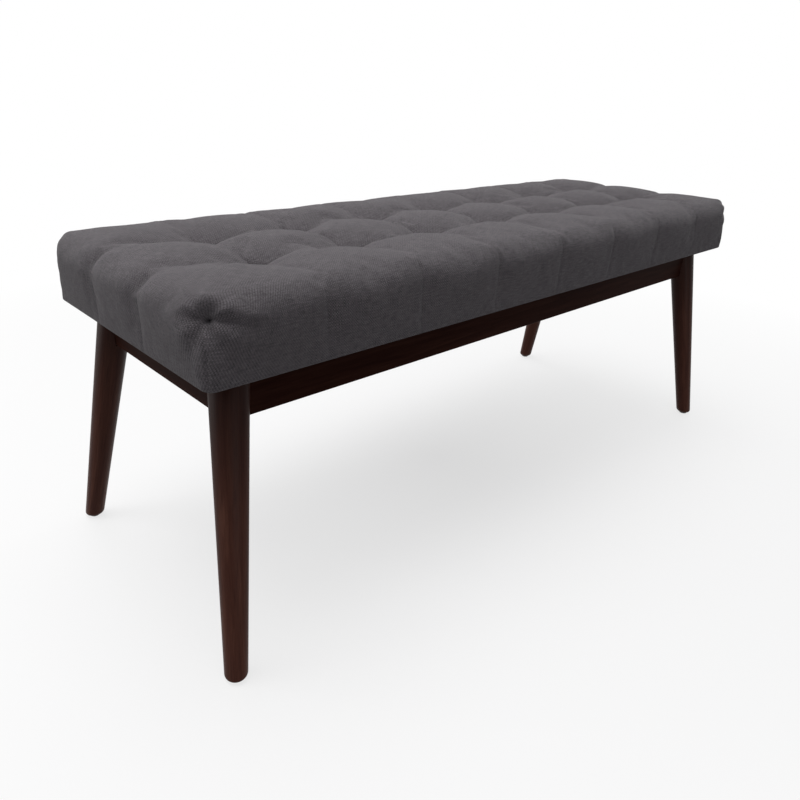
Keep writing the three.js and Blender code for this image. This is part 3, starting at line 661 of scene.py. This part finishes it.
def glide(corner, paint):
    """A glide: a low button whose rounded edge is a quarter circle, with a short nail, all circles about one axis."""
    node = f"glide_{corner}"
    low, high = (np.array(c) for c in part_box(node))
    middle = (low + high) / 2
    turn = np.linspace(0, QUARTER, 5)
    edge = 0.8 * MM
    button = (high[0] - low[0]) / 2
    radius = np.concatenate([button - edge * (1 - np.sin(turn)), [button, button, 1 * MM, 1 * MM, 0.2 * MM]])
    height = np.concatenate([edge * (1 - np.cos(turn)), [1.6 * MM, 2.5 * MM, 2.5 * MM, 12.5 * MM, 14.5 * MM]])
    around = np.linspace(0, 2 * np.pi, 40, endpoint=False)
    points = circles(middle[0], middle[1], radius[:, None], low[2] + height, around)
    piece = make_rings(f"{node}_button", points)
    return finish_piece(piece, paint, "nylon", node)


def dust_cover(paint):
    """The thin cloth under the deck: a sheet whose middle sags along a cosine each way, held flat along its edges,
    with small puckers where it is stapled. Inner is half the length and half the width of what hangs free."""
    low, high = (np.array(c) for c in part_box("dust_cover"))
    half = (high[:2] - low[:2]) / 2
    x, y = np.meshgrid(np.linspace(-half[0], half[0], 161), np.linspace(-half[1], half[1], 61), indexing="ij")
    inner = np.array([0.462, 0.122])
    along, across = np.cos(QUARTER * x / inner[0]), np.cos(QUARTER * y / inner[1])
    sag = 2.5 * MM * np.clip(along, 0, 1) ** 0.5 * np.clip(across, 0, 1)
    sag = sag * (np.abs(x) < inner[0]) * (np.abs(y) < inner[1])
    wave = 0.35 * MM * np.sin(x * 2 * np.pi / 0.07) * step(np.abs(y), 0.02, inner[1]) * (np.abs(y) < inner[1])
    z = high[2] - 0.1 * MM - sag - np.where(sag > 0, np.abs(wave) * np.clip(sag / (0.5 * MM), 0, 1), 0)
    points = np.stack([x, y, z], axis=-1)
    piece = make_mesh("dust_cover_sheet", points, grid_faces(*x.shape)[:, ::-1])
    piece.data.shade_smooth()
    wall = piece.modifiers.new("cloth", "SOLIDIFY")
    wall.thickness = 0.35 * MM
    wall.offset = -1
    finish_piece(piece, paint, "dust_cloth", "dust_cover")
    return piece


# ---- finishes ----


class Wire:
    """A node's output. Sums on it add Math nodes."""

    def __init__(self, paint, socket):
        self.paint = paint
        self.socket = socket

    def math(self, operation, *values):
        return self.paint.node("ShaderNodeMath", {"operation": operation}, dict(enumerate((self, *values))))

    def __add__(self, other):
        return self.math("ADD", other)

    def __sub__(self, other):
        return self.math("SUBTRACT", other)

    def __rsub__(self, other):
        return self.paint.node("ShaderNodeMath", {"operation": "SUBTRACT"}, {0: other, 1: self})

    def __mul__(self, other):
        return self.math("MULTIPLY", other)

    def __pow__(self, other):
        return self.math("POWER", other)

    def __gt__(self, other):
        return self.math("GREATER_THAN", other)

    def __lt__(self, other):
        return self.math("LESS_THAN", other)

    __radd__ = __add__
    __rmul__ = __mul__

    def __abs__(self):
        return self.math("ABSOLUTE")

    def sine(self):
        return self.math("SINE")

    def clamped(self):
        return self.math("MAXIMUM", 0.0).math("MINIMUM", 1.0)


class Paint:
    """One node material, built round its surface shader."""

    def __init__(self, name, **surface):
        self.material = bpy.data.materials.new(name)
        self.material.use_nodes = True
        self.tree = self.material.node_tree
        self.shader = self.tree.nodes["Principled BSDF"]
        for socket, value in surface.items():
            self.shader.inputs[socket.replace("_", " ")].default_value = value

    def node(self, kind, settings=None, inputs=None, output=0):
        """A node of a kind, with its settings first and then its inputs' values or links. Gives one output."""
        node = self.tree.nodes.new(kind)
        for key, value in (settings or {}).items():
            if key == "stops":
                ramp = node.color_ramp
                while len(ramp.elements) < len(value):
                    ramp.elements.new(0.5)
                for element, (position, colour) in zip(ramp.elements, value):
                    element.position = position
                    element.color = (*colour, 1)
            else:
                setattr(node, key, value)
        for key, value in (inputs or {}).items():
            if isinstance(value, Wire):
                self.tree.links.new(value.socket, node.inputs[key])
            else:
                node.inputs[key].default_value = value
        return Wire(self, node.outputs[output])

    def link(self, **links):
        for socket, wire in links.items():
            self.tree.links.new(wire.socket, self.shader.inputs[socket.replace("_", " ")])
        return self.material

    def noise(self, place, scale, detail=3.0, roughness=0.55, distortion=0.0):
        inputs = {"Vector": place, "Scale": scale, "Detail": detail, "Roughness": roughness, "Distortion": distortion}
        return self.node("ShaderNodeTexNoise", {}, inputs)

    def ramp(self, value, *stops):
        return self.node("ShaderNodeValToRGB", {"stops": stops}, {"Fac": value})

    def blend(self, factor, first, second, kind="MIX"):
        settings = {"data_type": "RGBA", "blend_type": kind}
        return self.node("ShaderNodeMix", settings, {0: factor, 6: first, 7: second}, output=2)

    def stretch(self, place, scale):
        return self.node("ShaderNodeVectorMath", {"operation": "MULTIPLY"}, {0: place, 1: scale})

    def bump(self, height, distance, strength=1.0):
        return self.node("ShaderNodeBump", {}, {"Height": height, "Distance": distance, "Strength": strength})

    def object_place(self):
        return self.node("ShaderNodeTexCoord", {}, {}, output=3)


def rgba(*colour):
    return (*colour, 1.0)


def woven_fabric():
    """Plain weave of dark and lighter yarns. Each yarn is half a sine wave across; the sign of the product of the two
    waves says which yarn lies on top, and noise drawn out along each yarn gives its slubs. Down the sides the panels'
    seams are thin dark lines, which fade in below the upper edge."""
    paint = Paint("charcoal_weave", Roughness=0.92, Sheen_Weight=0.12, Sheen_Roughness=0.5)
    paint.shader.inputs["Specular IOR Level"].default_value = 0.2
    place = paint.node("ShaderNodeUVMap", {"uv_map": "cloth"})
    u = paint.node("ShaderNodeSeparateXYZ", {}, {"Vector": place}, output=0)
    v = paint.node("ShaderNodeSeparateXYZ", {}, {"Vector": place}, output=1)
    yarn = 1.45 * MM
    wander = (paint.noise(place, 90.0, 2.0) - 0.5) * (0.5 * MM)
    crossing = ((u + wander) * (np.pi / yarn)).sine() * ((v + wander) * (np.pi / yarn)).sine()
    warp_on_top = crossing > 0.0
    crown = abs(crossing) ** 0.55
    warp = paint.noise(paint.stretch(place, (1.0, 0.12, 1.0)), 700.0, 1.0)
    weft = paint.noise(paint.stretch(place, (0.12, 1.0, 1.0)), 700.0, 1.0)
    warp_tone = paint.ramp(warp, (0.32, (0.050, 0.0440, 0.048)), (0.68, (0.114, 0.102, 0.109)))
    weft_tone = paint.ramp(weft, (0.32, (0.085, 0.0765, 0.083)), (0.68, (0.177, 0.161, 0.172)))
    yarns = paint.blend(warp_on_top, weft_tone, warp_tone)
    gaps = paint.ramp(crown, (0.0, (0.30, 0.30, 0.30)), (0.45, (1.0, 1.0, 1.0)))
    woven = paint.blend(0.75, yarns, gaps, "MULTIPLY")
    cloudy = paint.ramp(paint.noise(place, 34.0, 3.0), (0.3, (0.96, 0.96, 0.96)), (0.7, (1.03, 1.03, 1.03)))
    seam_width, fade_in = 1.1 * MM, 40 * MM
    past_last_column, past_last_row = 0.45, 0.12
    down_front = ((abs(v) - FLAT_Y) * (1 / fade_in)).clamped() * (past_last_column > abs(u))
    down_end = ((abs(u) - FLAT_X) * (1 / fade_in)).clamped() * (past_last_row > abs(v))
    column_seam = (1 - u.math("PINGPONG", COLUMN_PITCH / 2) * (1 / seam_width)).clamped() * down_front
    row_seam = (1 - abs(abs(v) - ROWS[-1]) * (1 / seam_width)).clamped() * down_end
    seam = column_seam + row_seam * 0.5
    colour = paint.blend(1.0, paint.blend(seam * 0.18, woven, rgba(0.006, 0.005, 0.006)), cloudy, "MULTIPLY")
    relief = crown + warp * 0.25 + paint.noise(place, 2200.0, 1.0) * 0.2 - seam * 0.2
    return paint.link(Base_Color=colour, Normal=paint.bump(relief, 0.35 * MM, 0.8))


def stained_wood(name, light, gloss):
    """Espresso-stained hardwood: noise drawn out along the grain for the figure, finer noise for the pores. Light
    scales the colour as a painted light level, so that where it is over 1 the wood is painted lighter. By height the
    colour is painted lighter towards the foot, for light from the floor, and painted darker towards the seat, for its
    shadow.
    Gloss is the strength of its lacquer's shine."""
    paint = Paint(name)
    paint.shader.inputs["Specular IOR Level"].default_value = gloss
    place = paint.node("ShaderNodeAttribute", {"attribute_name": "grain"}, {}, output=1)
    figure = paint.noise(paint.stretch(place, (1.0, 1.0, 0.07)), 95.0, 4.0, 0.6, 0.6)
    pores = paint.noise(paint.stretch(place, (1.0, 1.0, 0.035)), 900.0, 2.0, 0.6)
    stops = ((0.30, (0.024, 0.0084, 0.0060)), (0.52, (0.034, 0.0128, 0.0088)), (0.74, (0.050, 0.0210, 0.0145)))
    # light scales the colour as a painted light level; the rails' lower level is painted shade from the seat above
    # them.
    tone = paint.ramp(figure, *((at, tuple(light * part for part in colour)) for at, colour in stops))
    lines = paint.ramp(pores, (0.30, (0.70, 0.68, 0.68)), (0.52, (1.0, 1.0, 1.0)))
    height = paint.node("ShaderNodeSeparateXYZ", {}, {"Vector": paint.object_place()}, output=2)
    tallest = 1 / 3
    # Painted light and shade by height: lighter at the foot for light from the floor, darker towards the seat for its
    # shadow.
    stops = ((0.0, (1.5, 1.47, 1.45)), (0.6, (1.05, 1.03, 1.03)), (0.92, (0.44, 0.42, 0.44)))
    painted_light_by_height = paint.ramp(height * (1 / tallest), *stops)
    colour = paint.blend(1.0, paint.blend(0.8, tone, lines, "MULTIPLY"), painted_light_by_height, "MULTIPLY")
    roughness = 0.32 + figure * 0.12
    relief = pores * 0.6 + figure * 0.4
    return paint.link(Base_Color=colour, Roughness=roughness, Normal=paint.bump(relief, 0.12 * MM, 0.35))


def raw_wood():
    """Unfinished hardwood: rings of a sine wave, bent by noise, with fine fibres along Z."""
    paint = Paint("raw_hardwood")
    place = paint.object_place()
    bend = paint.noise(paint.stretch(place, (1.0, 1.0, 0.15)), 40.0, 3.0)
    fibre = paint.noise(paint.stretch(place, (1.0, 1.0, 0.05)), 700.0, 2.0)
    rings = (bend * 38.0).sine() * 0.5 + 0.5
    tone = paint.ramp(rings, (0.0, (0.42, 0.28, 0.155)), (1.0, (0.62, 0.45, 0.27)))
    fine = paint.ramp(fibre, (0.3, (0.72, 0.70, 0.68)), (0.6, (1.0, 1.0, 1.0)))
    colour = paint.blend(0.8, tone, fine, "MULTIPLY")
    return paint.link(Base_Color=colour, Roughness=0.62 + fibre * 0.2, Normal=paint.bump(fibre, 0.1 * MM, 0.4))


def plywood():
    """Plywood: bent figure on the faces, and darker layers by height at the edges."""
    paint = Paint("plywood_layers")
    place = paint.object_place()
    figure = paint.noise(paint.stretch(place, (0.08, 1.0, 0.3)), 60.0, 4.0, 0.6, 0.8)
    height = paint.node("ShaderNodeSeparateXYZ", {}, {"Vector": place}, output=2)
    layers = (height * (np.pi / (2 * MM))).sine() * 0.5 + 0.5
    tone = paint.ramp(figure, (0.3, (0.40, 0.27, 0.15)), (0.7, (0.58, 0.43, 0.27)))
    colour = paint.blend(layers * 0.35, tone, rgba(0.30, 0.19, 0.10))
    return paint.link(Base_Color=colour, Roughness=0.65 + figure * 0.15, Normal=paint.bump(figure, 0.1 * MM, 0.3))


def dust_cloth():
    """Thin black non-woven cloth: random short fibres pressed flat."""
    paint = Paint("black_dust_cloth", Sheen_Weight=0.1)
    place = paint.object_place()
    fibres = paint.noise(place, 1400.0, 3.0, 0.7, 1.5)
    dots = paint.node("ShaderNodeTexVoronoi", {}, {"Vector": place, "Scale": 700.0})
    tone = paint.ramp(fibres, (0.35, (0.006, 0.006, 0.007)), (0.65, (0.020, 0.020, 0.022)))
    relief = fibres * 0.5 + dots * 0.5
    return paint.link(Base_Color=tone, Roughness=0.8 + fibres * 0.15, Normal=paint.bump(relief, 0.15 * MM, 0.6))


def foam():
    """Open-cell foam: small round cells."""
    paint = Paint("open_cell_foam")
    place = paint.object_place()
    cells = paint.node("ShaderNodeTexVoronoi", {}, {"Vector": place, "Scale": 900.0})
    tone = paint.ramp(cells, (0.0, (0.55, 0.48, 0.30)), (0.5, (0.80, 0.73, 0.52)))
    return paint.link(Base_Color=tone, Roughness=0.85 + cells * 0.1, Normal=paint.bump(cells, 0.4 * MM, 0.5))


def twine():
    """Waxed twine: a sine wave climbing round the cord."""
    paint = Paint("waxed_twine")
    place = paint.object_place()
    x = paint.node("ShaderNodeSeparateXYZ", {}, {"Vector": place}, output=0)
    z = paint.node("ShaderNodeSeparateXYZ", {}, {"Vector": place}, output=2)
    lay = ((z + x * 0.6) * (2 * np.pi / (1.4 * MM))).sine() * 0.5 + 0.5
    tone = paint.ramp(lay, (0.0, (0.45, 0.40, 0.32)), (0.7, (0.74, 0.70, 0.60)))
    return paint.link(Base_Color=tone, Roughness=0.7 + lay * 0.1, Normal=paint.bump(lay, 0.2 * MM, 0.6))


def zinc_steel():
    """Zinc-plated steel: a faint blotchy bloom and fine handling marks."""
    paint = Paint("zinc_plated_steel", Metallic=1.0)
    place = paint.object_place()
    bloom = paint.noise(place, 260.0, 3.0)
    marks = paint.noise(paint.stretch(place, (1.0, 1.0, 0.1)), 1500.0, 2.0)
    tone = paint.ramp(bloom, (0.3, (0.46, 0.47, 0.48)), (0.7, (0.66, 0.66, 0.65)))
    return paint.link(Base_Color=tone, Roughness=0.28 + bloom * 0.22, Normal=paint.bump(marks, 0.03 * MM, 0.3))


def nylon():
    """Dark moulded nylon with a fine texture."""
    paint = Paint("dark_nylon")
    place = paint.object_place()
    grain = paint.noise(place, 1800.0, 2.0)
    tone = paint.ramp(grain, (0.3, (0.012, 0.011, 0.010)), (0.7, (0.026, 0.024, 0.022)))
    return paint.link(Base_Color=tone, Roughness=0.42 + grain * 0.15, Normal=paint.bump(grain, 0.05 * MM, 0.4))


# ---- stage, light and camera ----


def floor():
    """A pale floor that keeps the shadows near the bench. Far off, what the camera sees goes over to plain white. From
    below it can't be seen, so that it doesn't hide the underside."""
    half = 9.0
    points = np.array([[-half, -half, 0], [half, -half, 0], [half, half, 0], [-half, half, 0]])
    ground = make_mesh("floor", points, np.array([[0, 1, 2, 3]]))
    paint = Paint("pale_floor", Roughness=0.9)
    paint.shader.inputs["Specular IOR Level"].default_value = 0.0
    seen = paint.node("ShaderNodeLightPath", {}, {}, output=0)
    mirrored = paint.node("ShaderNodeLightPath", {}, {}, output=3)
    through = paint.node("ShaderNodeLightPath", {}, {}, output=6)
    looked_at = seen.math("MAXIMUM", mirrored).math("MAXIMUM", through)
    colour = paint.blend(looked_at, rgba(0.22, 0.22, 0.22), rgba(0.93, 0.93, 0.93))
    place = paint.object_place()
    far = paint.node("ShaderNodeVectorMath", {"operation": "LENGTH"}, {0: place}, output=1)
    spread = far.math("MULTIPLY_ADD", 0.25, 0.6).math("MINIMUM", 1.0)
    white = paint.node("ShaderNodeEmission", {}, {"Color": rgba(1, 1, 1), "Strength": 1.0})
    paint.link(Base_Color=colour)
    output = paint.tree.nodes["Material Output"]
    both = paint.node(
        "ShaderNodeMixShader", {}, {0: spread * looked_at, 1: Wire(paint, paint.shader.outputs[0]), 2: white}
    )
    clear = paint.node("ShaderNodeBsdfTransparent")
    below = paint.node("ShaderNodeNewGeometry", {}, {}, output=6)
    sided = paint.node("ShaderNodeMixShader", {}, {0: below, 1: both, 2: clear})
    paint.tree.links.new(sided.socket, output.inputs["Surface"])
    ground.data.materials.append(paint.material)


def world():
    """Plain white to the camera and in reflections, soft grey as light."""
    sky = bpy.data.worlds.new("studio")
    bpy.context.scene.world = sky
    sky.use_nodes = True
    tree = sky.node_tree
    path = tree.nodes.new("ShaderNodeLightPath")
    looked_at = tree.nodes.new("ShaderNodeMath")
    looked_at.operation = "MAXIMUM"
    tree.links.new(path.outputs["Is Camera Ray"], looked_at.inputs[0])
    tree.links.new(path.outputs["Is Glossy Ray"], looked_at.inputs[1])
    through = tree.nodes.new("ShaderNodeMath")
    through.operation = "MAXIMUM"
    tree.links.new(looked_at.outputs[0], through.inputs[0])
    tree.links.new(path.outputs["Is Transmission Ray"], through.inputs[1])
    mix = tree.nodes.new("ShaderNodeMix")
    mix.data_type = "RGBA"
    mix.inputs[6].default_value = rgba(0.16, 0.16, 0.17)
    mix.inputs[7].default_value = rgba(1, 1, 1)
    tree.links.new(through.outputs[0], mix.inputs[0])
    tree.links.new(mix.outputs[2], tree.nodes["Background"].inputs["Color"])


def lamp(name, at, aim, size, power):
    """A flat lamp at a place, turned towards its aim."""
    light = bpy.data.lights.new(name, "AREA")
    light.shape = "RECTANGLE"
    light.size, light.size_y = size
    light.energy = power
    holder = bpy.data.objects.new(name, light)
    bpy.context.collection.objects.link(holder)
    holder.location = at
    holder.rotation_euler = (Vector(aim) - Vector(at)).to_track_quat("-Z", "Y").to_euler()


def camera():
    """Looks back along the fitted azimuth and elevation, rolled a little about its line of sight."""
    azimuth, elevation, roll = np.radians([CAMERA_AZIMUTH, CAMERA_ELEVATION, CAMERA_ROLL])
    back = np.array([np.sin(azimuth) * np.cos(elevation), -np.cos(azimuth) * np.cos(elevation), np.sin(elevation)])
    right = np.cross(-back, (0, 0, 1))
    right /= np.linalg.norm(right)
    up = np.cross(back, right)
    rolled_right = np.cos(roll) * right + np.sin(roll) * up
    rolled_up = -np.sin(roll) * right + np.cos(roll) * up
    data = bpy.data.cameras.new("camera")
    data.sensor_width = 36
    data.lens = FOCAL / PICTURE * data.sensor_width
    data.shift_x = (PICTURE / 2 - CENTRE[0]) / PICTURE
    data.shift_y = (CENTRE[1] - PICTURE / 2) / PICTURE
    data.clip_start, data.clip_end = 0.02, 60
    holder = bpy.data.objects.new("camera", data)
    bpy.context.collection.objects.link(holder)
    turned = Matrix((rolled_right, rolled_up, back)).transposed().to_4x4()
    holder.matrix_world = Matrix.Translation(CAMERA_AT) @ turned
    bpy.context.scene.camera = holder


camera()
floor()
world()
lamp("overhead", (-0.25, 0.3, 2.2), (-0.1, 0, 0.3), (1.8, 1.4), 34.5)
lamp("left_side", (-2.0, 1.2, 1.0), (-0.3, 0, 0.3), (1.4, 1.4), 13)
lamp("front_fill", (-0.7, -2.8, 0.6), (0, 0, 0.3), (2.0, 1.2), 12)
lamp("right_side", (2.4, 0.5, 0.9), (0.3, 0, 0.3), (1.4, 1.4), 9)
lamp("back_fill", (0.2, 2.8, 1.1), (0, 0, 0.3), (2.0, 1.2), 6)
bpy.context.scene.view_settings.view_transform = "Standard"

fabric = woven_fabric()
# One wood in lit and shaded copies: the rails' lower light level is painted shade from the seat above them.
rail_wood_painted_shade = stained_wood("espresso_rails_painted_shade", 1.5, 0.005)
leg_wood_painted_light_and_shade = stained_wood("espresso_legs_painted_light_and_shade", 1.8, 0.06)
pressed = pressed_cloth()
seat_cover(fabric, pressed)
seat_foam(foam(), pressed)
waxed_twine = twine()
for node in [name for name in frame["nodes"] if name.startswith("tuft_tie")]:
    tuft_tie(node, waxed_twine, pressed)
dust_cover(dust_cloth())
for node, axis in (("front_rail", 0), ("back_rail", 0), ("left_rail", 1), ("right_rail", 1)):
    rail(node, axis, rail_wood_painted_shade)
dark_nylon = nylon()
for corner in SIGNS:
    leg(corner, leg_wood_painted_light_and_shade)
    glide(corner, dark_nylon)

kept = {
    "seat_deck": plywood(),
    "corner_block": raw_wood(),
    "hardware": zinc_steel(),
}
for name, node in frame["nodes"].items():
    kind = next((key for key in ("seat_deck", "corner_block") if name.startswith(key)), "hardware")
    if not node.hide_render:
        for place in node.material_slots:
            place.material = kept[kind]
